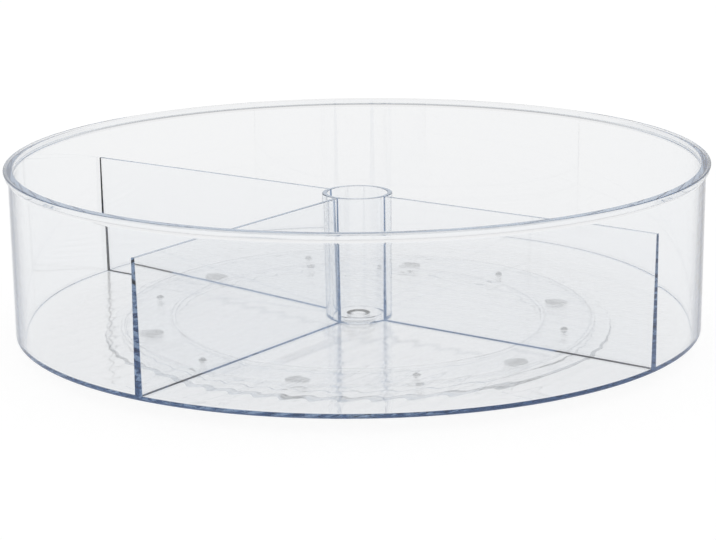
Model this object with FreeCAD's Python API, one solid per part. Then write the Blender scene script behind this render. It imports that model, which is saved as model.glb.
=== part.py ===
import FreeCAD, Part
import math
import os

# A round, clear divided turntable for a pantry shelf. A moulded tray with a beaded rim, a ribbed
# floor, an open hub tube and three dividers turns on a flat base plate, over a ring of six balls in
# a loose cage, and a snap-in pin in the hub's foot holds it down.
#
# Millimetres. +Z is up, the origin is on the table under the pivot, and -Y faces the viewer.

# ---- driving dimensions -------------------------------------------------------------------------

# Tray: a shell of revolution with draft, heights counted from its underside.
RIM_RADIUS = 177.8            # over the bead, a 14 inch turntable
TRAY_HEIGHT = 85.5
WALL_DRAFT = 0.8              # how much the wall leans outwards over its height
WALL_TOP_THICKNESS = 2.5
WALL_FOOT_THICKNESS = 3.8
FLOOR_THICKNESS = 1.8
BEAD_OVERHANG = 2.6           # how far the bead stands out of the wall
BEAD_END = 2.3                # height of the bead's upright outer face
BEAD_LEAN = 50.0              # its underside runs back to the wall at this angle to the upright
BEAD_TOP_ROUND = 0.4
BEAD_LOW_ROUND = 0.5
BEAD_FILLET = 3.0
RIM_INNER_ROUND = 0.4
CORNER_OUTER = 1.2            # wall to underside
CORNER_INNER = 0.8            # wall to floor

# Hub tube and dividers, which end at one level.
DIVIDER_HEIGHT = 67.3         # top of hub and dividers above the tray's underside
HUB_FOOT_RADIUS = 18.2
HUB_DRAFT = 0.4               # how much the tube's outside leans inwards over its height
HUB_FOOT_WALL = 3.3
HUB_TOP_WALL = 2.5
HUB_EDGE_ROUND = 0.4
DIVIDER_TOP_THICKNESS = 2.0
DIVIDER_FOOT_THICKNESS = 4.4
DIVIDER_EDGE_ROUND = 0.35
CROSS_ANGLE = 144.0           # the two dividers in line lie at this angle and opposite it
CROSS_ASIDE = 0.8             # how far their line passes in front of the axis
STEM_ANGLE = 234.0            # the third divider, square to them
BOND_LINE = 0.03              # joint between hub, dividers and tray where curved faces meet

# Low ribs moulded on the floor, square to the line of dividers in front of it, along it behind.
RIB_PITCH = 12.3
RIB_WIDTH = 7.6
RIB_RISE = 0.1
RIB_BORDER = 4.6              # smooth border between the ribs and the wall
RIB_MARGIN = 1.2              # ribs stop this far from hub and dividers
RIB_ROOT = 0.3                # depth of the rib's root in the floor

# Bearing: balls on a circle between two low walls of the base plate.
BALL_DIAMETER = 4.0
BALL_COUNT = 6
BALL_CIRCLE_RADIUS = 108.0
FIRST_BALL_ANGLE = 44.5
BALL_CLEARANCE = 0.05         # over and under a ball
POCKET_CLEARANCE = 0.15       # round a ball in the cage
CAGE_THICKNESS = 1.6
CAGE_CLEARANCE = 0.6          # cage to the race walls
CAGE_EDGE_ROUND = 0.3

# Base plate.
BASE_BORDER = 8.1             # from the back of the outer race wall to the plate's edge
BASE_THICKNESS = 2.0
BASE_EDGE_ROUND = 0.6
RACE_REACH = 11.9             # from the ball circle to the face of either race wall
RACE_WALL_THICKNESS = 2.0
RACE_WALL_ROUND = 0.4
TRAY_GAP = 0.6                # from race walls and boss up to the tray
BOSS_RADIUS = 9.0
BOSS_FILLET = 1.0

# Pivot pin: a head in the hub, a journal in the tray, a split snap shank in the base.
PIN_HEAD_RADIUS = 12.0
PIN_HEAD_THICKNESS = 1.4
PIN_HEAD_ROUND = 0.3
PIN_HEAD_GAP = 0.3            # between the head and the tray's floor
JOURNAL_RADIUS = 6.0
JOURNAL_CLEARANCE = 0.08
SHANK_RADIUS = 4.0
SHANK_CLEARANCE = 0.05
BARB_OVERHANG = 0.7
BARB_SEAT_GAP = 0.05
BARB_TIP_RADIUS = 3.2
BARB_TIP_HEIGHT = 0.4         # tip of the barbs above the plate's underside
SNAP_LEDGE = 2.4              # the ledge that the barbs catch, above the plate's underside
SNAP_WELL_RADIUS = 6.0
SNAP_SLOT_WIDTH = 1.6
SNAP_SLOT_ROOF = 1.2          # solid left over the slot, under the journal

# Non-slip feet, pressed into shallow recesses under the ball circle.
FOOT_RADIUS = 6.0
FOOT_COUNT = 6
FIRST_FOOT_ANGLE = 14.5
FOOT_STAND = 1.0              # how far a foot stands out of the plate
FOOT_RECESS = 0.8
FOOT_EDGE_ROUND = 0.35
FOOT_CLEARANCE = 0.05

# ---- levels and radii that follow from them -----------------------------------------------------

BASE_UNDERSIDE = FOOT_STAND
BASE_TOP = BASE_UNDERSIDE + BASE_THICKNESS
BALL_CENTRE = BASE_TOP + BALL_CLEARANCE + BALL_DIAMETER / 2
TRAY_UNDERSIDE = BALL_CENTRE + BALL_DIAMETER / 2 + BALL_CLEARANCE
FLOOR_TOP = TRAY_UNDERSIDE + FLOOR_THICKNESS
DIVIDER_TOP = TRAY_UNDERSIDE + DIVIDER_HEIGHT
RIM_TOP = TRAY_UNDERSIDE + TRAY_HEIGHT
RACE_WALL_TOP = TRAY_UNDERSIDE - TRAY_GAP
PIN_HEAD_UNDERSIDE = FLOOR_TOP + PIN_HEAD_GAP

WALL_TOP_RADIUS = RIM_RADIUS - BEAD_OVERHANG
WALL_FOOT_RADIUS = WALL_TOP_RADIUS - WALL_DRAFT
BEAD_UNDERSIDE = RIM_TOP - BEAD_END
BEAD_FOOT = BEAD_UNDERSIDE - BEAD_OVERHANG / math.tan(math.radians(BEAD_LEAN))
HUB_TOP_RADIUS = HUB_FOOT_RADIUS - HUB_DRAFT
RACE_INNER_RADIUS = BALL_CIRCLE_RADIUS - RACE_REACH
RACE_OUTER_RADIUS = BALL_CIRCLE_RADIUS + RACE_REACH
BASE_RADIUS = RACE_OUTER_RADIUS + RACE_WALL_THICKNESS + BASE_BORDER

AXIS_Z = FreeCAD.Vector(0, 0, 1)
ORIGIN = FreeCAD.Vector(0, 0, 0)


# ---- outlines and helpers -----------------------------------------------------------------------

def point(x, z):
    """A point of an outline in the X-Z plane."""
    return FreeCAD.Vector(x, 0, z)


def corner_arc(before, corner, after, radius):
    """The tangent points and the middle of the arc that rounds one corner of an outline."""
    to_before = (before - corner).normalize()
    to_after = (after - corner).normalize()
    half_angle = to_before.getAngle(to_after) / 2
    setback = radius / math.tan(half_angle)
    middle_way = (to_before + to_after).normalize()
    centre = corner + middle_way * (radius / math.sin(half_angle))
    return corner + to_before * setback, centre - middle_way * radius, corner + to_after * setback


def outline(corners):
    """A face in the X-Z plane from (x, z, rounding radius) corners, taken in order."""
    places = [point(x, z) for x, z, radius in corners]
    count = len(corners)
    edges = []
    arcs = []
    for i in range(count):
        radius = corners[i][2]
        if radius > 0:
            arcs.append(corner_arc(places[i - 1], places[i], places[(i + 1) % count], radius))
        else:
            arcs.append((places[i], None, places[i]))
    for i in range(count):
        start, middle, end = arcs[i]
        if middle is not None:
            edges.append(Part.Arc(start, middle, end).toShape())
        edges.append(Part.LineSegment(end, arcs[(i + 1) % count][0]).toShape())
    return Part.Face(Part.Wire(edges))


def turned(corners):
    """A solid of revolution about Z from an outline."""
    return outline(corners).revolve(ORIGIN, AXIS_Z, 360)


def spun(shape, angle):
    """A copy turned about Z by an angle in degrees."""
    copy = shape.copy()
    copy.rotate(ORIGIN, AXIS_Z, angle)
    return copy


def on_circle(radius, angle, height):
    """A point on a level circle about Z."""
    turn = math.radians(angle)
    return FreeCAD.Vector(radius * math.cos(turn), radius * math.sin(turn), height)


def upright_cylinder(radius, bottom, top, centre=ORIGIN):
    """A cylinder between two levels."""
    return Part.makeCylinder(radius, top - bottom, FreeCAD.Vector(centre.x, centre.y, bottom), AXIS_Z)


# ---- tray ---------------------------------------------------------------------------------------

def wall_inner_radius(height):
    """Inner radius of the drafted wall at a height above the tray's underside."""
    rise = height / TRAY_HEIGHT
    foot = WALL_FOOT_RADIUS - WALL_FOOT_THICKNESS
    top = WALL_TOP_RADIUS - WALL_TOP_THICKNESS
    return foot + (top - foot) * rise


def tray_shell():
    """Floor, drafted wall and beaded rim, with the pivot hole in the middle."""
    hole = JOURNAL_RADIUS + JOURNAL_CLEARANCE
    return turned([
        (hole, TRAY_UNDERSIDE, 0),
        (WALL_FOOT_RADIUS, TRAY_UNDERSIDE, CORNER_OUTER),
        (WALL_TOP_RADIUS, BEAD_FOOT, BEAD_FILLET),
        (RIM_RADIUS, BEAD_UNDERSIDE, BEAD_LOW_ROUND),
        (RIM_RADIUS, RIM_TOP, BEAD_TOP_ROUND),
        (wall_inner_radius(TRAY_HEIGHT), RIM_TOP, RIM_INNER_ROUND),
        (wall_inner_radius(FLOOR_THICKNESS), FLOOR_TOP, CORNER_INNER),
        (hole, FLOOR_TOP, 0),
    ])


def floor_rib(offset, start, end):
    """One low rib along +X at an offset in Y, a flat arc in section, rooted in the floor."""
    half = RIB_WIDTH / 2
    foot = FLOOR_TOP - RIB_ROOT
    low_left = FreeCAD.Vector(start, offset - half, foot)
    left = FreeCAD.Vector(start, offset - half, FLOOR_TOP)
    crown = FreeCAD.Vector(start, offset, FLOOR_TOP + RIB_RISE)
    right = FreeCAD.Vector(start, offset + half, FLOOR_TOP)
    low_right = FreeCAD.Vector(start, offset + half, foot)
    section = Part.Wire([
        Part.LineSegment(low_left, left).toShape(),
        Part.Arc(left, crown, right).toShape(),
        Part.LineSegment(right, low_right).toShape(),
        Part.LineSegment(low_right, low_left).toShape(),
    ])
    return Part.Face(section).extrude(FreeCAD.Vector(end - start, 0, 0))


def rib_field_radius():
    """Radius of the ribbed field."""
    return wall_inner_radius(FLOOR_THICKNESS) - RIB_BORDER


def rib_offsets():
    """Distances of the rib centres from a divider, which stands midway between two of them."""
    first = RIB_PITCH / 2
    count = int((rib_field_radius() - RIB_WIDTH - first) / RIB_PITCH) + 1
    return [first + i * RIB_PITCH for i in range(count)]


def field_reach(offset):
    """Half the chord of the ribbed field at an offset, so that a rib's corners stay inside it."""
    edge = offset + RIB_WIDTH / 2
    return math.sqrt(rib_field_radius() ** 2 - edge ** 2)


def hub_reach(offset):
    """Half the chord of the bare ring round the hub at an offset, or 0 beyond it."""
    keep_out = HUB_FOOT_RADIUS + RIB_MARGIN
    near_edge = max(0.0, offset - RIB_WIDTH / 2)
    if near_edge >= keep_out:
        return 0.0
    return math.sqrt(keep_out ** 2 - near_edge ** 2)


def floor_ribs():
    """All ribs: square to the cross line in front of it, and along it behind."""
    clear = DIVIDER_FOOT_THICKNESS / 2 + RIB_MARGIN
    ribs = []
    for offset in rib_offsets():
        start = max(clear, hub_reach(offset))
        for side in (-1, 1):
            ribs.append(spun(floor_rib(side * offset, start, field_reach(offset)), STEM_ANGLE))
    for offset in rib_offsets():
        start = hub_reach(offset)
        reach = field_reach(offset)
        if start > 0:
            ribs.append(spun(floor_rib(-offset, start, reach), CROSS_ANGLE))
            ribs.append(spun(floor_rib(-offset, -reach, -start), CROSS_ANGLE))
        else:
            ribs.append(spun(floor_rib(-offset, -reach, reach), CROSS_ANGLE))
    return ribs


def tray():
    """The tray's shell with its floor ribs."""
    return tray_shell().fuse(floor_ribs())


def hub_tube():
    """The open tube in the middle, drafted inside and out, standing on the floor."""
    return turned([
        (HUB_FOOT_RADIUS - HUB_FOOT_WALL, FLOOR_TOP, 0),
        (HUB_FOOT_RADIUS, FLOOR_TOP, 0),
        (HUB_TOP_RADIUS, DIVIDER_TOP, HUB_EDGE_ROUND),
        (HUB_TOP_RADIUS - HUB_TOP_WALL, DIVIDER_TOP, HUB_EDGE_ROUND),
    ])


def divider_blank(aside):
    """A plate along +X, thick at the foot and thin at the top, longer than it has to be."""
    foot = DIVIDER_FOOT_THICKNESS / 2
    top = DIVIDER_TOP_THICKNESS / 2
    section = outline([
        (-foot, FLOOR_TOP, 0),
        (foot, FLOOR_TOP, 0),
        (top, DIVIDER_TOP, DIVIDER_EDGE_ROUND),
        (-top, DIVIDER_TOP, DIVIDER_EDGE_ROUND),
    ])
    section.rotate(ORIGIN, AXIS_Z, 90)
    section.translate(FreeCAD.Vector(0, aside, 0))
    return section.extrude(FreeCAD.Vector(RIM_RADIUS, 0, 0))


def divider_space():
    """What lies between the hub's outer face and the wall's inner face, less the bond lines."""
    hub_foot = HUB_FOOT_RADIUS + BOND_LINE
    hub_top = HUB_TOP_RADIUS + BOND_LINE
    wall_foot = wall_inner_radius(FLOOR_THICKNESS) - BOND_LINE
    wall_top = wall_inner_radius(DIVIDER_HEIGHT) - BOND_LINE
    return turned([
        (hub_foot, FLOOR_TOP, 0),
        (wall_foot, FLOOR_TOP, CORNER_INNER + BOND_LINE),
        (wall_top, DIVIDER_TOP, 0),
        (hub_top, DIVIDER_TOP, 0),
    ])


def divider(angle, aside=0.0):
    """One divider from the hub to the wall, at an angle, its plane passing aside of the axis."""
    return spun(divider_blank(aside).common(divider_space()), angle)


# ---- base ---------------------------------------------------------------------------------------

def base_plate():
    """A flat disc with two race walls, a snap boss in the middle and recesses for the feet."""
    shank_hole = SHANK_RADIUS + SHANK_CLEARANCE
    ledge = BASE_UNDERSIDE + SNAP_LEDGE
    inner_back = RACE_INNER_RADIUS - RACE_WALL_THICKNESS
    outer_back = RACE_OUTER_RADIUS + RACE_WALL_THICKNESS
    plate = turned([
        (SNAP_WELL_RADIUS, BASE_UNDERSIDE, 0),
        (BASE_RADIUS, BASE_UNDERSIDE, BASE_EDGE_ROUND),
        (BASE_RADIUS, BASE_TOP, BASE_EDGE_ROUND),
        (outer_back, BASE_TOP, 0),
        (outer_back, RACE_WALL_TOP, RACE_WALL_ROUND),
        (RACE_OUTER_RADIUS, RACE_WALL_TOP, RACE_WALL_ROUND),
        (RACE_OUTER_RADIUS, BASE_TOP, 0),
        (RACE_INNER_RADIUS, BASE_TOP, 0),
        (RACE_INNER_RADIUS, RACE_WALL_TOP, RACE_WALL_ROUND),
        (inner_back, RACE_WALL_TOP, RACE_WALL_ROUND),
        (inner_back, BASE_TOP, 0),
        (BOSS_RADIUS, BASE_TOP, BOSS_FILLET),
        (BOSS_RADIUS, RACE_WALL_TOP, RACE_WALL_ROUND),
        (shank_hole, RACE_WALL_TOP, 0),
        (shank_hole, ledge, 0),
        (SNAP_WELL_RADIUS, ledge, 0),
    ])
    recess_radius = FOOT_RADIUS + FOOT_CLEARANCE
    recess_roof = BASE_UNDERSIDE + FOOT_RECESS
    recesses = [
        upright_cylinder(recess_radius, 0, recess_roof, foot_centre(i))
        for i in range(FOOT_COUNT)
    ]
    return plate.cut(recesses)


def foot_centre(index):
    """Where a foot stands, under the circle of balls that carries the load."""
    return on_circle(BALL_CIRCLE_RADIUS, FIRST_FOOT_ANGLE + index * 360.0 / FOOT_COUNT, 0)


def foot(index):
    """A soft round pad that fills its recess and stands out below."""
    pad = turned([
        (0, 0, 0),
        (FOOT_RADIUS, 0, FOOT_EDGE_ROUND),
        (FOOT_RADIUS, BASE_UNDERSIDE + FOOT_RECESS, 0),
        (0, BASE_UNDERSIDE + FOOT_RECESS, 0),
    ])
    pad.translate(foot_centre(index))
    return pad


def pivot_pin():
    """Head, journal and snap shank in one turning, with the shank split across by a slot."""
    ledge = BASE_UNDERSIDE + SNAP_LEDGE - BARB_SEAT_GAP
    tip = BASE_UNDERSIDE + BARB_TIP_HEIGHT
    head_top = PIN_HEAD_UNDERSIDE + PIN_HEAD_THICKNESS
    pin = turned([
        (0, tip, 0),
        (BARB_TIP_RADIUS, tip, 0),
        (SHANK_RADIUS + BARB_OVERHANG, ledge, 0),
        (SHANK_RADIUS, ledge, 0),
        (SHANK_RADIUS, RACE_WALL_TOP, 0),
        (JOURNAL_RADIUS, RACE_WALL_TOP, 0),
        (JOURNAL_RADIUS, PIN_HEAD_UNDERSIDE, 0),
        (PIN_HEAD_RADIUS, PIN_HEAD_UNDERSIDE, 0),
        (PIN_HEAD_RADIUS, head_top, PIN_HEAD_ROUND),
        (0, head_top, 0),
    ])
    reach = SHANK_RADIUS + BARB_OVERHANG
    slot_top = RACE_WALL_TOP - SNAP_SLOT_ROOF
    slot = Part.makeBox(
        2 * reach, SNAP_SLOT_WIDTH, slot_top,
        FreeCAD.Vector(-reach, -SNAP_SLOT_WIDTH / 2, 0))
    return pin.cut(slot)


# ---- bearing ------------------------------------------------------------------------------------

def ball_centre(index):
    """Where a ball stands at rest."""
    angle = FIRST_BALL_ANGLE + index * 360.0 / BALL_COUNT
    return on_circle(BALL_CIRCLE_RADIUS, angle, BALL_CENTRE)


def ball(index):
    """One ball of the bearing."""
    return Part.makeSphere(BALL_DIAMETER / 2, ball_centre(index))


def ball_cage():
    """A flat ring between the race walls with one round pocket for each ball."""
    low = BALL_CENTRE - CAGE_THICKNESS / 2
    high = BALL_CENTRE + CAGE_THICKNESS / 2
    inner = RACE_INNER_RADIUS + CAGE_CLEARANCE
    outer = RACE_OUTER_RADIUS - CAGE_CLEARANCE
    ring = turned([
        (inner, low, CAGE_EDGE_ROUND),
        (outer, low, CAGE_EDGE_ROUND),
        (outer, high, CAGE_EDGE_ROUND),
        (inner, high, CAGE_EDGE_ROUND),
    ])
    pocket = BALL_DIAMETER / 2 + POCKET_CLEARANCE
    pockets = [upright_cylinder(pocket, low, high, ball_centre(i)) for i in range(BALL_COUNT)]
    return ring.cut(pockets)


# ---- the assembly -------------------------------------------------------------------------------

def assembly():
    """Every piece by its name."""
    pieces = {
        "tray": tray(),
        "hub_tube": hub_tube(),
        "divider_rear_left": divider(CROSS_ANGLE, CROSS_ASIDE),
        "divider_front_left": divider(STEM_ANGLE),
        "divider_right": divider(CROSS_ANGLE + 180.0, -CROSS_ASIDE),
        "base_plate": base_plate(),
        "pivot_pin": pivot_pin(),
        "ball_cage": ball_cage(),
    }
    for i in range(BALL_COUNT):
        pieces["ball_%d" % (i + 1)] = ball(i)
    for i in range(FOOT_COUNT):
        pieces["foot_%d" % (i + 1)] = foot(i)
    return pieces


def main():
    """Write one STEP file for each piece."""
    os.makedirs("parts", exist_ok=True)
    for name, shape in assembly().items():
        shape.exportStep("parts/%s.step" % name)
        box = shape.BoundBox
        print(name, "solids", len(shape.Solids), "valid", shape.isValid(),
              "volume %.0f mm3" % shape.Volume, "z %.2f to %.2f" % (box.ZMin, box.ZMax))


main()
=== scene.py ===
# %% [markdown]
# # A clear divided turntable, from its surfaces to its picture
# The object is a pantry turntable moulded in clear plastic: an open tray with a beaded rim, a ribbed
# floor, a tube in the middle and three dividers. It turns on a low base, over six balls in a cage.
# Clear plastic shows almost nothing of its own. What the eye sees are its edges, where light has
# travelled a long way inside the plastic, so every piece here is a closed solid with the real wall
# thickness, and the render engine works out the rest. The CAD model comes first, as a fixed frame.

# %% Load the frame
import math

import bmesh
import bpy
import numpy as np
from mathutils import Matrix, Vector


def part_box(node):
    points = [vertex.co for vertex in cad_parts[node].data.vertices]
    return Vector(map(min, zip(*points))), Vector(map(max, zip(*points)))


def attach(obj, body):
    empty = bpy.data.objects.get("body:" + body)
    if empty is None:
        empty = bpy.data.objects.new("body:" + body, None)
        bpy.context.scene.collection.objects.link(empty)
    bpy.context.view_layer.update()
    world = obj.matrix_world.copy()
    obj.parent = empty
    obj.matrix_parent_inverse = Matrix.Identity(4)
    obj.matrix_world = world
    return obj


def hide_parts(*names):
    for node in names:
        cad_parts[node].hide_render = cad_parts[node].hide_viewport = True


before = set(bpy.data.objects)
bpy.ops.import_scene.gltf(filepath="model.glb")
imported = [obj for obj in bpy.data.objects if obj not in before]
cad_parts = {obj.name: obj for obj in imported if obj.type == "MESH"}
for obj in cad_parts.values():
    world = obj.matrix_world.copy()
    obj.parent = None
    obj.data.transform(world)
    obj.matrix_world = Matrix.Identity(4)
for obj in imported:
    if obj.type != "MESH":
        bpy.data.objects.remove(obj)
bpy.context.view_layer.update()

# %% [markdown]
# The frame says where each piece lies, so the main sizes are read from it. What a box can't say, such
# as a wall thickness or a rounding, is a named size in millimetres, as a mould maker would note it.

# %% Sizes of the tray that the frame gives
MM = 0.001

tray_low, tray_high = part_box("tray")
hub_low, hub_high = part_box("hub_tube")

RIM_RADIUS = tray_high.x
RIM_TOP = tray_high.z
TRAY_UNDERSIDE = tray_low.z
FLOOR_TOP = hub_low.z
DIVIDER_TOP = hub_high.z
HUB_FOOT_RADIUS = hub_high.x

print("tray %.1f mm across, %.1f mm high" % (2 * RIM_RADIUS / MM, (RIM_TOP - TRAY_UNDERSIDE) / MM))

# %% [markdown]
# The wall leans outwards a little, so that the tray slides out of its mould, and it is thicker at the
# foot. On top it swells into a bead that stiffens the rim. The bead's end face draws in towards its
# lower edge: an upright end face shows broken pieces of the dividers' lines, and a tapered one, like
# the real one, turns them out of sight.

# %% Sizes of the wall and the rim
WALL_DRAFT = 0.8 * MM             # how far the outside moves out from foot to top
WALL_TOP_THICKNESS = 2.5 * MM
WALL_FOOT_THICKNESS = 3.8 * MM
BEAD_OVERHANG = 2.6 * MM          # how far the bead stands out from the wall
BEAD_END = 2.7 * MM               # height of the bead's end face
BEAD_LEAN = math.radians(65)      # slope of the bead's underside, from upright
BEAD_TAPER = 0.7 * MM             # how far the end face draws in towards its lower edge
BEAD_TOP_ROUND = 0.8 * MM
BEAD_LOW_ROUND = 0.3 * MM
BEAD_FILLET = 2.7 * MM            # between the bead's underside and the wall
RIM_INNER_ROUND = 0.4 * MM
CORNER_OUTER = 1.2 * MM           # between wall and underside
CORNER_INNER = 0.4 * MM           # between wall and floor, inside
PIVOT_HOLE = 6.08 * MM            # radius of the hole that the pin's journal turns in

WALL_TOP_RADIUS = RIM_RADIUS - BEAD_OVERHANG
WALL_FOOT_RADIUS = WALL_TOP_RADIUS - WALL_DRAFT
BEAD_UNDERSIDE = RIM_TOP - BEAD_END
BEAD_LOW_RADIUS = RIM_RADIUS - BEAD_TAPER
BEAD_FOOT = BEAD_UNDERSIDE - (BEAD_LOW_RADIUS - WALL_TOP_RADIUS) / math.tan(BEAD_LEAN)

print("bead: end %.1f mm high, foot %.2f mm below the rim" % (BEAD_END / MM, (RIM_TOP - BEAD_FOOT) / MM))

# %% [markdown]
# Most pieces here are turned forms: an outline carried round the axis. The outline is a list of
# corners, each with the radius that rounds it, which is how a drawing gives it. A Bevel modifier could
# round the edges too, but not with a radius of its own at each corner. Rounding every edge matters more
# in clear plastic than in any other material, because each rounding is a small lens.

# %% Outlines with rounded corners
ARC_STEP = math.radians(9)
LEAST_ARC_STEPS = 3


def rounded(corners):
    """An outline from (r, z, rounding) corners.

    The arc at a corner touches both sides at rounding / tan(half the corner's angle) from it, and its
    centre lies on the bisector at rounding / sin(half the angle). Points on it are centre plus
    rounding times a direction that turns steadily from one touching point to the other.
    """
    places = np.array([corner[:2] for corner in corners], float)
    points = []
    for i, (_, _, rounding) in enumerate(corners):
        corner = places[i]
        if rounding <= 0:
            points.append(corner[None])
            continue
        back = places[i - 1] - corner
        ahead = places[(i + 1) % len(corners)] - corner
        back /= np.linalg.norm(back)
        ahead /= np.linalg.norm(ahead)
        half = math.acos(np.clip(back @ ahead, -1, 1)) / 2
        bisector = (back + ahead) / np.linalg.norm(back + ahead)
        centre = corner + bisector * rounding / math.sin(half)
        start = (corner + back * rounding / math.tan(half) - centre) / rounding
        end = (corner + ahead * rounding / math.tan(half) - centre) / rounding
        sweep = math.pi - 2 * half
        steps = max(LEAST_ARC_STEPS, math.ceil(sweep / ARC_STEP))
        t = np.linspace(0, 1, steps + 1)[:, None]
        spread = (np.sin((1 - t) * sweep) * start + np.sin(t * sweep) * end) / math.sin(sweep)
        points.append(centre + rounding * spread)
    return np.concatenate(points)


def wall_inner_radius(z):
    """The inner face of the drafted wall, a straight line from foot to top."""
    rise = (z - TRAY_UNDERSIDE) / (RIM_TOP - TRAY_UNDERSIDE)
    foot, top = WALL_FOOT_RADIUS - WALL_FOOT_THICKNESS, WALL_TOP_RADIUS - WALL_TOP_THICKNESS
    return foot + (top - foot) * rise


TRAY_OUTLINE = rounded([
    (PIVOT_HOLE, TRAY_UNDERSIDE, 0),
    (WALL_FOOT_RADIUS, TRAY_UNDERSIDE, CORNER_OUTER),
    (WALL_TOP_RADIUS, BEAD_FOOT, BEAD_FILLET),
    (BEAD_LOW_RADIUS, BEAD_UNDERSIDE, BEAD_LOW_ROUND),
    (RIM_RADIUS, RIM_TOP, BEAD_TOP_ROUND),
    (wall_inner_radius(RIM_TOP), RIM_TOP, RIM_INNER_ROUND),
    (wall_inner_radius(FLOOR_TOP), FLOOR_TOP, CORNER_INNER),
    (PIVOT_HOLE, FLOOR_TOP, 0),
])
print("tray outline:", len(TRAY_OUTLINE), "points")

# %% [markdown]
# An outline is carried round in steps. The rim and the foot are long curves in clear plastic, where
# each facet would show as a glint, so the tray and the base get many steps and small pieces few.

# %% Surfaces of revolution
TURN_STEPS = 480


def grid_faces(rows, columns):
    """Quads of a grid that closes on itself both ways: corner (i, j) is point i * columns + j."""
    i, j = np.meshgrid(np.arange(rows), np.arange(columns), indexing="ij")
    next_i, next_j = (i + 1) % rows, (j + 1) % columns
    corners = [i * columns + j, next_i * columns + j, next_i * columns + next_j, i * columns + next_j]
    return np.stack(corners, -1).reshape(-1, 4).tolist()


def turned(outline, steps=TURN_STEPS):
    """A surface of revolution: x = r cos(turn), y = r sin(turn), z from the outline."""
    turn = np.arange(steps) * (2 * math.pi / steps)
    x = np.cos(turn)[:, None] * outline[None, :, 0]
    y = np.sin(turn)[:, None] * outline[None, :, 0]
    z = np.broadcast_to(outline[:, 1], x.shape)
    return np.stack([x, y, z], -1).reshape(-1, 3), grid_faces(steps, len(outline))


def shifted(surface, centre):
    """A surface moved in plan."""
    points, faces = surface
    return points + np.array([centre.x, centre.y, 0]), faces


def cylinder_outline(radius, bottom, top):
    """A plain cylinder's outline, from the axis out and back."""
    return np.array([(0, bottom), (radius, bottom), (radius, top), (0, top)])


print("facets round the rim: %.2f mm long" % (2 * math.pi * RIM_RADIUS / TURN_STEPS / MM))

# %% [markdown]
# A mesh then needs a few finishing steps: poles and seams merged, faces pointing outwards, and soft
# shading with sharp edges kept where two faces really meet. Soft shading gives each corner one normal
# for all the faces round it. A plain mean would let the small facets of a rounding tilt the normals of
# the large flat floor beside it. Light inside clear plastic is close to the angle at which a face
# throws it back, so even a slight tilt shows as a grey or blue patch. The mean is therefore weighted by
# the faces' areas, and flat faces stay optically flat.

# %% From arrays to objects
SOFT_ANGLE = math.radians(12)
MERGE_DISTANCE = 1e-7


def closed_mesh(name, points, faces):
    """A mesh with its doubles merged and its normals pointing outwards."""
    mesh = bpy.data.meshes.new(name)
    mesh.from_pydata(points.tolist(), [], faces)
    work = bmesh.new()
    work.from_mesh(mesh)
    bmesh.ops.remove_doubles(work, verts=work.verts, dist=MERGE_DISTANCE)
    bmesh.ops.recalc_face_normals(work, faces=work.faces)
    work.to_mesh(mesh)
    work.free()
    return mesh


def linked(name, data):
    """A new object at the origin, with a mesh or other data, put in the scene."""
    new = bpy.data.objects.new(name, data)
    bpy.context.scene.collection.objects.link(new)
    return new


def place(name, mesh):
    """A softly shaded piece, whose normals are means weighted by the faces' areas."""
    piece = linked(name, mesh)
    mesh.shade_smooth()
    mesh.set_sharp_from_angle(angle=SOFT_ANGLE)
    weights = piece.modifiers.new("normals_by_area", "WEIGHTED_NORMAL")
    weights.mode = "FACE_AREA"
    weights.keep_sharp = True
    return piece


def combined(name, first, others, operation):
    """One closed mesh from several by exact union or difference. The helpers are removed."""
    body = linked(name, first)
    tools = [linked(name + "_tool", mesh) for mesh in others]
    for tool in tools:
        step = body.modifiers.new("join", "BOOLEAN")
        step.operation = operation
        step.solver = "MANIFOLD"
        step.object = tool
    depsgraph = bpy.context.evaluated_depsgraph_get()
    mesh = bpy.data.meshes.new_from_object(body.evaluated_get(depsgraph))
    for helper in [body, *tools]:
        bpy.data.objects.remove(helper)
    mesh.name = name
    return place(name, mesh)


print("edges over %.0f degrees stay sharp" % math.degrees(SOFT_ANGLE))

# %% [markdown]
# The tube and the dividers are moulded in one with the tray. Each is first a solid of its own that
# reaches a little into the floor or the wall, because a union needs solids that overlap and not faces
# that lie in each other. A divider is a bar with a tapered section, and thins towards its top.

# %% Tube and dividers
HUB_DRAFT = 0.4 * MM              # how much narrower the tube is on top
HUB_FOOT_WALL = 3.3 * MM
HUB_TOP_WALL = 2.5 * MM
HUB_EDGE_ROUND = 0.4 * MM
DIVIDER_TOP_THICKNESS = 2.0 * MM
DIVIDER_FOOT_THICKNESS = 4.4 * MM
DIVIDER_EDGE_ROUND = 0.35 * MM
CROSS_ANGLE = 144.0               # the two dividers in line, from +X
STEM_ANGLE = 234.0                # the divider square to them
CROSS_ASIDE = 0.8 * MM            # how far the two in line stand beside the axis
ROOT = 0.6 * MM                   # how deep a solid reaches into the floor

HUB_TOP_RADIUS = HUB_FOOT_RADIUS - HUB_DRAFT
HUB_OUTLINE = rounded([
    (HUB_FOOT_RADIUS - HUB_FOOT_WALL, FLOOR_TOP - ROOT, 0),
    (HUB_FOOT_RADIUS, FLOOR_TOP - ROOT, 0),
    (HUB_TOP_RADIUS, DIVIDER_TOP, HUB_EDGE_ROUND),
    (HUB_TOP_RADIUS - HUB_TOP_WALL, DIVIDER_TOP, HUB_EDGE_ROUND),
])
DIVIDER_START = HUB_FOOT_RADIUS - HUB_TOP_WALL / 2
DIVIDER_END = wall_inner_radius(DIVIDER_TOP) + WALL_TOP_THICKNESS / 2


def swung(x, y, z, angle):
    """Points turned about the pivot: x cos(angle) - y sin(angle), x sin(angle) + y cos(angle), z."""
    cos, sin = math.cos(math.radians(angle)), math.sin(math.radians(angle))
    return np.stack([x * cos - y * sin, x * sin + y * cos, z], -1)


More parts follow.
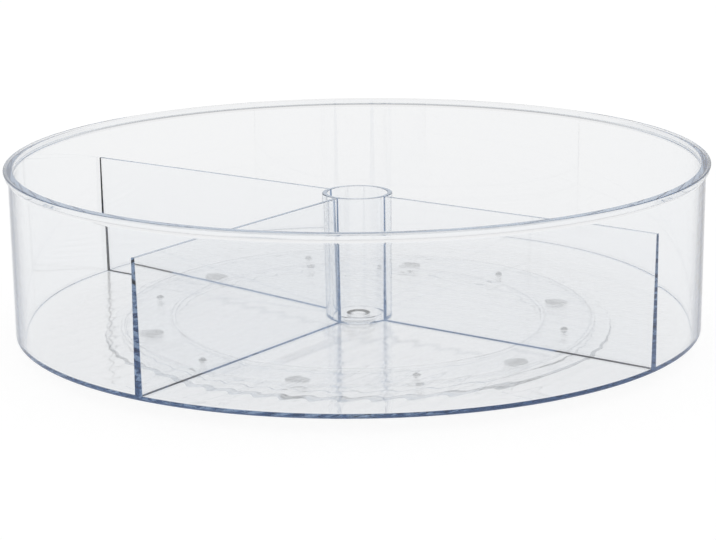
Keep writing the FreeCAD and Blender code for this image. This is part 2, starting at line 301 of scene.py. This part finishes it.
def prism(section, start, end, angle, aside=0.0):
    """A bar: a closed section in (y, z), moved aside in y, carried along x from start to end and swung.

    The two ends are closed by one many-sided face each, so the faces are lists of unequal length.
    """
    count = len(section)
    x = np.repeat([start, end], count)
    y, z = np.tile(section, (2, 1)).T
    ring = np.arange(count)
    after = (ring + 1) % count
    sides = np.stack([ring, after, after + count, ring + count], -1).tolist()
    ends = [ring[::-1].tolist(), (ring + count).tolist()]
    return swung(x, y + aside, z, angle), sides + ends


def bars_mesh(name, bars):
    """One mesh from several bars that don't touch."""
    points, faces, offset = [], [], 0
    for bar_points, bar_faces in bars:
        points.append(bar_points)
        faces += [[offset + corner for corner in face] for face in bar_faces]
        offset += len(bar_points)
    return closed_mesh(name, np.concatenate(points), faces)


def divider_section():
    """Half thickness falls evenly from foot to top, and the top's two edges are rounded."""
    foot, top = DIVIDER_FOOT_THICKNESS / 2, DIVIDER_TOP_THICKNESS / 2
    low = FLOOR_TOP - ROOT
    return rounded([(-foot, low, 0), (foot, low, 0), (foot, FLOOR_TOP, 0),
                    (top, DIVIDER_TOP, DIVIDER_EDGE_ROUND), (-top, DIVIDER_TOP, DIVIDER_EDGE_ROUND),
                    (-foot, FLOOR_TOP, 0)])


print("dividers: %.1f mm from tube to wall" % ((DIVIDER_END - DIVIDER_START) / MM))

# %% [markdown]
# The floor has low ribs, so that jars don't stick to it. Each is a broad soft wave that is hardly
# higher than a hair is thick. A bump in the material could draw them on an opaque floor. Here each one
# has to bend the light that crosses the floor, so they are real waves in the mesh.

# %% Floor ribs
RIB_PITCH = 12.3 * MM
RIB_WIDTH = 11.8 * MM
RIB_RISE = 0.065 * MM
RIB_SINK = 0.005 * MM             # how far a wave's foot lies under the floor's face
RIB_FADE = 9.0 * MM               # length over which an end rises
RIB_BORDER = 4.6 * MM             # bare floor along the wall
RIB_MARGIN = 1.2 * MM             # bare floor beside the tube and the dividers
RIB_ROOT = 0.3 * MM
RIB_SECTION_STEPS = 16
RIB_FADE_STEPS = 5


def rib_bar(offset, start, end, angle):
    """A low wave with fading ends.

    Its height is rise times (1 + cos(pi t)) / 2 across, with t from -1 to 1, times a fade that grows
    the same way from 0 to 1 over the first and last stretch. It is sunk a little, so that it meets the
    floor at a slight angle and not as a tangent.
    """
    t = np.linspace(-1, 1, RIB_SECTION_STEPS + 1)
    fade = min(RIB_FADE, (end - start) / 2)
    ramp = np.linspace(0, 1, RIB_FADE_STEPS + 1)
    along = np.concatenate([start + fade * ramp, end - fade * ramp[::-1]])
    swell = (1 - np.cos(math.pi * np.concatenate([ramp, ramp[::-1]]))) / 2
    across = offset + t * RIB_WIDTH / 2
    height = np.outer(swell, (1 + np.cos(math.pi * t)) / 2) * RIB_RISE - RIB_SINK
    x = np.repeat(along[:, None], len(t) + 2, 1)
    y = np.tile(np.concatenate([across, across[[-1, 0]]]), (len(along), 1))
    z = np.hstack([FLOOR_TOP + height, np.full((len(along), 2), FLOOR_TOP - RIB_ROOT)])
    rows, columns = x.shape
    i, j = np.meshgrid(np.arange(rows - 1), np.arange(columns), indexing="ij")
    after = (j + 1) % columns
    quads = np.stack([i * columns + j, i * columns + after, (i + 1) * columns + after,
                      (i + 1) * columns + j], -1).reshape(-1, 4).tolist()
    last = (rows - 1) * columns
    ends = [list(range(columns))[::-1], list(range(last, last + columns))]
    return swung(x, y, z, angle).reshape(-1, 3), quads + ends


def half_chord(radius, distance):
    """Half a circle's chord at a distance from its centre: the root of radius² - distance², or 0."""
    return math.sqrt(max(0.0, radius ** 2 - distance ** 2))


def rib_bars():
    """Ribs square to the cross line in front of it, and along it behind, as far as the field goes."""
    field = wall_inner_radius(FLOOR_TOP) - RIB_BORDER
    bare = HUB_FOOT_RADIUS + RIB_MARGIN
    beside_divider = DIVIDER_FOOT_THICKNESS / 2 + RIB_MARGIN
    count = int((field - RIB_WIDTH - RIB_PITCH / 2) / RIB_PITCH) + 1
    bars = []
    for k in range(count):
        offset = RIB_PITCH * (k + 0.5)
        far = half_chord(field, offset + RIB_WIDTH / 2)
        near = half_chord(bare, max(0.0, offset - RIB_WIDTH / 2))
        for side in (-1, 1):
            bars.append(rib_bar(side * offset, max(near, beside_divider), far, STEM_ANGLE))
        if near > 0:
            bars.append(rib_bar(-offset, near, far, CROSS_ANGLE))
            bars.append(rib_bar(-offset, -far, -near, CROSS_ANGLE))
        else:
            bars.append(rib_bar(-offset, -far, far, CROSS_ANGLE))
    return bars


RIBS = rib_bars()
print("ribs:", len(RIBS))

# %% [markdown]
# Now tray, tube, dividers and ribs become one closed mesh by a union. That is what draws the slate-blue
# lines of the real thing: light enters the foot of a divider from the floor and the wall, and leaves it
# after a long way through the plastic. Left as separate solids, they would glint at every gap.

# %% The tray moulding
tray_mesh = closed_mesh("tray_moulding", *turned(TRAY_OUTLINE))
hub_mesh = closed_mesh("hub", *turned(HUB_OUTLINE))
divider_bars = [prism(divider_section(), DIVIDER_START, DIVIDER_END, CROSS_ANGLE, CROSS_ASIDE),
                prism(divider_section(), DIVIDER_START, DIVIDER_END, CROSS_ANGLE + 180, -CROSS_ASIDE),
                prism(divider_section(), DIVIDER_START, DIVIDER_END, STEM_ANGLE)]
tray_moulding = combined("tray_moulding", tray_mesh,
                         [hub_mesh, bars_mesh("dividers", divider_bars), bars_mesh("ribs", RIBS)],
                         "UNION")
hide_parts("tray", "hub_tube", "divider_rear_left", "divider_front_left", "divider_right")
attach(tray_moulding, "turntable")
print("tray moulding:", len(tray_moulding.data.polygons), "faces")

# %% [markdown]
# Under the tray lies the base: a flat disc with two low walls between which the balls run, and a boss
# that the pivot pin snaps into. It is as clear as the tray, so its walls show as pale double rings
# through the ribbed floor. Six round recesses under it hold the pads that it stands on, and are cut out
# as cylinders.

# %% Base plate
BASE_THICKNESS = 2.0 * MM
BASE_EDGE_ROUND = 0.95 * MM
BASE_BORDER = 8.1 * MM            # from the back of the outer race wall to the plate's edge
RACE_WALL_THICKNESS = 2.0 * MM
RACE_WIDTH = 23.8 * MM            # between the faces of the two race walls
RACE_WALL_ROUND = 0.4 * MM
BOSS_RADIUS = 9.0 * MM
BOSS_FILLET = 1.0 * MM
SNAP_WELL_RADIUS = 6.0 * MM
SNAP_LEDGE = 2.4 * MM             # the ledge that the pin's barbs catch, above the plate's underside
SHANK_HOLE = 4.05 * MM
FOOT_CLEARANCE = 0.05 * MM
SMALL_TURN_STEPS = 60             # round a recess or a pocket

base_low, base_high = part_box("base_plate")
foot_low, foot_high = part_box("foot_1")
BASE_RADIUS = base_high.x
BASE_UNDERSIDE = base_low.z
RACE_WALL_TOP = base_high.z
FOOT_RADIUS = (foot_high.x - foot_low.x) / 2
FOOT_TOP = foot_high.z

BASE_TOP = BASE_UNDERSIDE + BASE_THICKNESS
RACE_OUTER_BACK = BASE_RADIUS - BASE_BORDER
RACE_OUTER = RACE_OUTER_BACK - RACE_WALL_THICKNESS
RACE_INNER = RACE_OUTER - RACE_WIDTH
RACE_INNER_BACK = RACE_INNER - RACE_WALL_THICKNESS

BASE_OUTLINE = rounded([
    (SNAP_WELL_RADIUS, BASE_UNDERSIDE, 0),
    (BASE_RADIUS, BASE_UNDERSIDE, BASE_EDGE_ROUND),
    (BASE_RADIUS, BASE_TOP, BASE_EDGE_ROUND),
    (RACE_OUTER_BACK, BASE_TOP, 0),
    (RACE_OUTER_BACK, RACE_WALL_TOP, RACE_WALL_ROUND),
    (RACE_OUTER, RACE_WALL_TOP, RACE_WALL_ROUND),
    (RACE_OUTER, BASE_TOP, 0),
    (RACE_INNER, BASE_TOP, 0),
    (RACE_INNER, RACE_WALL_TOP, RACE_WALL_ROUND),
    (RACE_INNER_BACK, RACE_WALL_TOP, RACE_WALL_ROUND),
    (RACE_INNER_BACK, BASE_TOP, 0),
    (BOSS_RADIUS, BASE_TOP, BOSS_FILLET),
    (BOSS_RADIUS, RACE_WALL_TOP, RACE_WALL_ROUND),
    (SHANK_HOLE, RACE_WALL_TOP, 0),
    (SHANK_HOLE, BASE_UNDERSIDE + SNAP_LEDGE, 0),
    (SNAP_WELL_RADIUS, BASE_UNDERSIDE + SNAP_LEDGE, 0),
])
FEET = [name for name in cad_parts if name.startswith("foot_")]


def middle(node):
    """The middle of a node's box."""
    low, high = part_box(node)
    return (low + high) / 2


def round_tools(name, outline, nodes):
    """One small turned solid at each node's place, to be cut out of a plate."""
    return [closed_mesh(name, *shifted(turned(outline, SMALL_TURN_STEPS), middle(node)))
            for node in nodes]


recess_outline = cylinder_outline(FOOT_RADIUS + FOOT_CLEARANCE, -ROOT, FOOT_TOP)
base_plate = combined("base_plate_moulding", closed_mesh("base", *turned(BASE_OUTLINE)),
                      round_tools("recess", recess_outline, FEET), "DIFFERENCE")
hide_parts("base_plate")
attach(base_plate, "base")
print("base plate: %.0f mm across" % (2 * BASE_RADIUS / MM))

# %% [markdown]
# The pivot pin is a plastic rivet: a flat head in the foot of the tube, a journal that the tray turns
# on, and a shank with barbs that snaps into the base. A slot across the shank lets its two halves give
# way. The pin is turned, and a bar cuts the slot.

# %% Pivot pin
PIN_HEAD_THICKNESS = 1.4 * MM
PIN_HEAD_ROUND = 0.3 * MM
JOURNAL_RADIUS = 6.0 * MM
SHANK_RADIUS = 4.0 * MM
BARB_RADIUS = 4.7 * MM
BARB_SEAT_GAP = 0.05 * MM
BARB_TIP_RADIUS = 3.2 * MM
SNAP_SLOT_WIDTH = 1.6 * MM
SNAP_SLOT_ROOF = 1.2 * MM         # solid left over the slot, under the journal
PIN_TURN_STEPS = 120

pin_low, pin_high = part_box("pivot_pin")
barb_top = BASE_UNDERSIDE + SNAP_LEDGE - BARB_SEAT_GAP
pin_outline = rounded([
    (0, pin_low.z, 0),
    (BARB_TIP_RADIUS, pin_low.z, 0),
    (BARB_RADIUS, barb_top, 0),
    (SHANK_RADIUS, barb_top, 0),
    (SHANK_RADIUS, RACE_WALL_TOP, 0),
    (JOURNAL_RADIUS, RACE_WALL_TOP, 0),
    (JOURNAL_RADIUS, pin_high.z - PIN_HEAD_THICKNESS, 0),
    (pin_high.x, pin_high.z - PIN_HEAD_THICKNESS, 0),
    (pin_high.x, pin_high.z, PIN_HEAD_ROUND),
    (0, pin_high.z, 0),
])
slot_half = SNAP_SLOT_WIDTH / 2
slot_top = RACE_WALL_TOP - SNAP_SLOT_ROOF
slot_reach = 2 * BARB_RADIUS
slot_section = np.array([(-slot_half, 0), (slot_half, 0), (slot_half, slot_top), (-slot_half, slot_top)])
slot_bar = bars_mesh("slot", [prism(slot_section, -slot_reach, slot_reach, 0)])
pivot_pin = combined("pivot_pin_moulding",
                     closed_mesh("pin", *turned(pin_outline, PIN_TURN_STEPS)), [slot_bar], "DIFFERENCE")
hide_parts("pivot_pin")
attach(pivot_pin, "base")
print("pin: head %.0f mm across, journal %.0f mm" % (2 * pin_high.x / MM, 2 * JOURNAL_RADIUS / MM))

# %% [markdown]
# The cage keeps the balls apart and is carried round by them, at half the tray's speed. It is a flat
# ring with a round pocket for each ball, and the pockets are cut out as cylinders.

# %% Ball cage
CAGE_EDGE_ROUND = 0.3 * MM
CAGE_CLEARANCE = 0.6 * MM         # to the race walls
POCKET_CLEARANCE = 0.15 * MM

cage_low, cage_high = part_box("ball_cage")
ball_low, ball_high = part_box("ball_1")
BALL_RADIUS = (ball_high.z - ball_low.z) / 2
BALLS = [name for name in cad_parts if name.startswith("ball_") and name != "ball_cage"]

cage_outline = rounded([
    (RACE_INNER + CAGE_CLEARANCE, cage_low.z, CAGE_EDGE_ROUND),
    (RACE_OUTER - CAGE_CLEARANCE, cage_low.z, CAGE_EDGE_ROUND),
    (RACE_OUTER - CAGE_CLEARANCE, cage_high.z, CAGE_EDGE_ROUND),
    (RACE_INNER + CAGE_CLEARANCE, cage_high.z, CAGE_EDGE_ROUND),
])
pocket_outline = cylinder_outline(BALL_RADIUS + POCKET_CLEARANCE, 0, RACE_WALL_TOP)
ball_cage = combined("ball_cage_moulding", closed_mesh("cage", *turned(cage_outline)),
                     round_tools("pocket", pocket_outline, BALLS), "DIFFERENCE")
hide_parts("ball_cage")
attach(ball_cage, "cage")
print("cage: %.1f mm thick, %d pockets" % ((cage_high.z - cage_low.z) / MM, len(BALLS)))

# %% [markdown]
# The balls are turned from half a circle, pole to pole. Each rides on a body of its own, because each
# one rolls. The pads are short soft cylinders with a rounded lower edge, and belong to the base.

# %% Balls and pads
BALL_ARC_POINTS = 33
BALL_TURN_STEPS = 64
FOOT_EDGE_ROUND = 0.35 * MM
FOOT_TURN_STEPS = 96


def ball_outline(centre_z):
    """Half a circle: r = radius cos(t), z = centre + radius sin(t), with t from pole to pole."""
    t = np.linspace(-math.pi / 2, math.pi / 2, BALL_ARC_POINTS)
    return np.stack([BALL_RADIUS * np.cos(t), centre_z + BALL_RADIUS * np.sin(t)], -1)


balls = []
for node in BALLS:
    surface = shifted(turned(ball_outline(middle(node).z), BALL_TURN_STEPS), middle(node))
    ball = place("bearing_" + node, closed_mesh("bearing_" + node, *surface))
    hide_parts(node)
    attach(ball, "rolling_" + node)
    balls.append(ball)

foot_outline = rounded([
    (0, foot_low.z, 0),
    (FOOT_RADIUS, foot_low.z, FOOT_EDGE_ROUND),
    (FOOT_RADIUS, FOOT_TOP, 0),
    (0, FOOT_TOP, 0),
])
feet = []
for node in FEET:
    surface = shifted(turned(foot_outline, FOOT_TURN_STEPS), middle(node))
    foot = place("pad_" + node, closed_mesh("pad_" + node, *surface))
    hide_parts(node)
    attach(foot, "base")
    feet.append(foot)
print("balls:", len(balls), "feet:", len(feet))

# %% [markdown]
# Every finish is a few nodes. One helper turns the hex colours of a colour card to the linear values
# that the engine works in, and one adds a node with its settings and links.

# %% Material helpers


def linear(hex_colour):
    """sRGB hex to linear: c / 12.92 below 0.04045, else ((c + 0.055) / 1.055) to the power 2.4."""
    parts = [int(hex_colour[i:i + 2], 16) / 255 for i in (0, 2, 4)]
    return tuple(c / 12.92 if c <= 0.04045 else ((c + 0.055) / 1.055) ** 2.4 for c in parts) + (1.0,)


def add_node(tree, kind, settings=(), links=()):
    """A node with its properties or socket values set, and its inputs linked.

    A socket is given by its name or, where several share one name, by its number.
    """
    new = tree.nodes.new(kind)
    for name, value in dict(settings).items():
        if isinstance(name, str) and hasattr(new, name):
            setattr(new, name, value)
        else:
            new.inputs[name].default_value = value
    for name, source in dict(links).items():
        tree.links.new(source, new.inputs[name])
    return new


def new_material(name):
    """An empty material and its node tree."""
    material = bpy.data.materials.new(name)
    material.use_nodes = True
    material.node_tree.nodes.clear()
    return material, material.node_tree


def made_of(material, pieces):
    """Give each piece this material alone."""
    for piece in pieces:
        piece.data.materials.clear()
        piece.data.materials.append(material)


print("mid grey 808080 is linear %.3f" % linear("808080")[0])

# %% [markdown]
# The tray is styrene acrylonitrile, a hard clear plastic with an index of 1.57, injection moulded in a
# polished mould. It is not quite colourless: it takes a little red out of the light over each
# millimetre, so a wall looks clear and an edge looks slate blue. That loss is a volume absorption. A
# tint on the surface could not do it, because it would colour a thin wall as much as a long edge.
#
# The base, the pin and the cage are crystal polystyrene, which is brighter and takes out less, so they
# show through the floor as pale lines. Both come out of the mould with a slight waviness, as all
# moulded plates do, and it breaks up their reflections a little.

# %% Clear moulded plastic
ABSORPTION_DENSITY = 31.0
ABSORPTION_TINT = "DEE6EF"
BASE_DENSITY = 6.0
BASE_TINT = "E6EAEF"
SURFACE_TINT = "FFFFFF"
TRAY_INDEX = 1.57
BASE_INDEX = 1.59
POLISHED = 0.0                    # roughness from a polished mould
WAVINESS_LENGTH = 45.0 * MM
WAVINESS_HEIGHT = 0.001 * MM


def clear_plastic(name, index, roughness, tint, density):
    """Glass-like surface with a faint waviness from the mould, and absorption inside."""
    material, tree = new_material(name)
    place_on_piece = add_node(tree, "ShaderNodeTexCoord")
    wave = add_node(tree, "ShaderNodeTexNoise", {"Scale": 1 / WAVINESS_LENGTH, "Detail": 1.0},
                    {"Vector": place_on_piece.outputs["Object"]})
    bump = add_node(tree, "ShaderNodeBump", {"Strength": 1.0, "Distance": WAVINESS_HEIGHT},
                    {"Height": wave.outputs["Fac"]})
    surface = add_node(tree, "ShaderNodeBsdfPrincipled",
                       {"Base Color": linear(SURFACE_TINT), "Roughness": roughness, "IOR": index,
                        "Transmission Weight": 1.0}, {"Normal": bump.outputs["Normal"]})
    inside = add_node(tree, "ShaderNodeVolumeAbsorption", {"Color": linear(tint), "Density": density})
    add_node(tree, "ShaderNodeOutputMaterial", {}, {"Surface": surface.outputs["BSDF"],
                                                     "Volume": inside.outputs["Volume"]})
    return material


tray_san = clear_plastic("styrene_acrylonitrile_clear", TRAY_INDEX, POLISHED,
                         ABSORPTION_TINT, ABSORPTION_DENSITY)
made_of(tray_san, [tray_moulding])
base_styrene = clear_plastic("crystal_polystyrene_clear", BASE_INDEX, POLISHED, BASE_TINT, BASE_DENSITY)
made_of(base_styrene, [base_plate, pivot_pin, ball_cage])
print("clear plastics:", tray_san.name, "and", base_styrene.name)

# %% [markdown]
# The balls are acetal, ground round and left natural: milky white, letting part of the light through,
# so that they show through the floor as small pale dots. The pads are clear silicone, moulded satin,
# which blurs what is behind it just enough to set the pads off from the base.

# %% Finish of the balls and the pads
ACETAL_WHITE = "F4F5F6"
ACETAL_INDEX = 1.48
ACETAL_ROUGHNESS = 0.25
ACETAL_CLEARNESS = 0.6
SILICONE_INDEX = 1.41
SILICONE_ROUGHNESS = 0.03
SILICONE_TINT = "EEF0F2"
SILICONE_DENSITY = 2.0

acetal, tree = new_material("acetal_natural_ground")
surface = add_node(tree, "ShaderNodeBsdfPrincipled",
                   {"Base Color": linear(ACETAL_WHITE), "Roughness": ACETAL_ROUGHNESS,
                    "IOR": ACETAL_INDEX, "Transmission Weight": ACETAL_CLEARNESS})
add_node(tree, "ShaderNodeOutputMaterial", {}, {"Surface": surface.outputs["BSDF"]})
made_of(acetal, balls)

silicone = clear_plastic("silicone_clear_satin", SILICONE_INDEX, SILICONE_ROUGHNESS,
                         SILICONE_TINT, SILICONE_DENSITY)
made_of(silicone, feet)
print("small pieces:", acetal.name, "and", silicone.name)

# %% [markdown]
# The object stands on a plain white table in front of a white background. The table's own colour is a
# mid grey that takes the soft shadow without throwing too much light up into the tray. A glow of its
# own lifts it to white where the camera sees it, and a little less where a reflection or clear plastic
# shows it. A brighter lamp could do that too, but would bleach the tray's fine lines.

# %% Table
WHITE = "FFFFFF"
TABLE_RADIUS = 6.0
TABLE_SIDES = 64
TABLE_DROP = 0.02 * MM            # under the pads, so that their faces don't lie in the table's
TABLE_ALBEDO = "808080"
TABLE_GLOW = 0.79
TABLE_SEEN_GLOW = 0.88

table_mesh = bpy.data.meshes.new("table")
ring = [(TABLE_RADIUS * math.cos(a), TABLE_RADIUS * math.sin(a), -TABLE_DROP)
        for a in np.linspace(0, 2 * math.pi, TABLE_SIDES, endpoint=False)]
table_mesh.from_pydata(ring, [], [list(range(TABLE_SIDES))])
table = linked("table", table_mesh)

table_white, tree = new_material("table_white_matt")
matt = add_node(tree, "ShaderNodeBsdfDiffuse", {"Color": linear(TABLE_ALBEDO)})
path = add_node(tree, "ShaderNodeLightPath")
clear = add_node(tree, "ShaderNodeMath", {"operation": "MAXIMUM"},
                 {0: path.outputs["Is Glossy Ray"], 1: path.outputs["Is Transmission Ray"]})
through = add_node(tree, "ShaderNodeMath", {"operation": "MULTIPLY", 1: TABLE_GLOW},
                   {0: clear.outputs[0]})
# In a Mix of numbers, input 0 is the factor, 2 is what it gives at factor 0 and 3 at factor 1.
strength = add_node(tree, "ShaderNodeMix", {"data_type": "FLOAT", 3: TABLE_SEEN_GLOW},
                    {0: path.outputs["Is Camera Ray"], 2: through.outputs[0]})
glow = add_node(tree, "ShaderNodeEmission", {"Color": linear(WHITE)},
                {"Strength": strength.outputs[0]})
both = add_node(tree, "ShaderNodeAddShader", {}, {0: matt.outputs[0], 1: glow.outputs[0]})
add_node(tree, "ShaderNodeOutputMaterial", {}, {"Surface": both.outputs[0]})
made_of(table_white, [table])
print("table: %.0f m across" % (2 * TABLE_RADIUS))

# %% [markdown]
# The light is a white dome, as in a studio tent. It is nearly white from the horizon up to a quarter of
# its height and fades to half overhead. Clear plastic needs such light from all sides and no lamps, which
# would only show in it as small hot spots. The camera itself sees the dome as plain white.

# %% Studio light
HORIZON_LIGHT = 0.88
OVERHEAD_LIGHT = 0.5
BAND_TOP = 0.25                   # where the fade starts, as the sine of the height above the horizon
OVERHEAD_START = 0.95             # where it ends
SEEN_LIGHT = 1.0

world = bpy.data.worlds.new("studio")
bpy.context.scene.world = world
world.use_nodes = True
tree = world.node_tree
tree.nodes.clear()
direction = add_node(tree, "ShaderNodeTexCoord")
parts = add_node(tree, "ShaderNodeSeparateXYZ", {}, {0: direction.outputs["Generated"]})
dome = add_node(tree, "ShaderNodeMapRange",
                {"interpolation_type": "SMOOTHSTEP", "From Min": BAND_TOP, "From Max": OVERHEAD_START,
                 "To Min": HORIZON_LIGHT, "To Max": OVERHEAD_LIGHT}, {"Value": parts.outputs["Z"]})
path = add_node(tree, "ShaderNodeLightPath")
level = add_node(tree, "ShaderNodeMix", {"data_type": "FLOAT", 3: SEEN_LIGHT},
                 {0: path.outputs["Is Camera Ray"], 2: dome.outputs["Result"]})
sky = add_node(tree, "ShaderNodeBackground", {"Color": linear(WHITE)}, {"Strength": level.outputs[0]})
add_node(tree, "ShaderNodeOutputWorld", {}, {"Surface": sky.outputs[0]})
print("studio: %.2f at the horizon, %.2f overhead" % (HORIZON_LIGHT, OVERHEAD_LIGHT))

# %% [markdown]
# The camera stands where the photographer's stood. Its place, its tilt and its focal length are those
# at which the outlines of the rim and of the foot fall on the photo's. Light in the rim and in the
# dividers is thrown from face to face many times before it gets out, and a path that the engine cuts
# short comes out black, so the number of bounces is raised far above the usual dozen.

# %% Camera
PHOTO_WIDTH = 716                 # pixels
FOCAL_PIXELS = 2510.0             # focal length, in the photo's pixels
SENSOR_WIDTH = 36.0
CAMERA_DISTANCE = 1247.2 * MM     # in front of the pivot
CAMERA_HEIGHT = 327.1 * MM        # above the tray's underside
CAMERA_PITCH = 13.547             # degrees downwards
CAMERA_ROLL = -0.622
LIGHT_BOUNCES = 512

camera_data = bpy.data.cameras.new("camera")
camera_data.sensor_width = SENSOR_WIDTH
camera_data.lens = FOCAL_PIXELS / PHOTO_WIDTH * SENSOR_WIDTH
camera = linked("camera", camera_data)
camera.matrix_world = (
    Matrix.Translation((0, -CAMERA_DISTANCE, TRAY_UNDERSIDE + CAMERA_HEIGHT))
    @ Matrix.Rotation(math.radians(90 - CAMERA_PITCH), 4, "X")
    @ Matrix.Rotation(math.radians(CAMERA_ROLL), 4, "Z"))
bpy.context.scene.camera = camera

bpy.context.scene.view_settings.view_transform = "Standard"
bpy.context.scene.cycles.max_bounces = LIGHT_BOUNCES
bpy.context.scene.cycles.glossy_bounces = LIGHT_BOUNCES
bpy.context.scene.cycles.transmission_bounces = LIGHT_BOUNCES
print("lens: %.1f mm" % camera_data.lens)
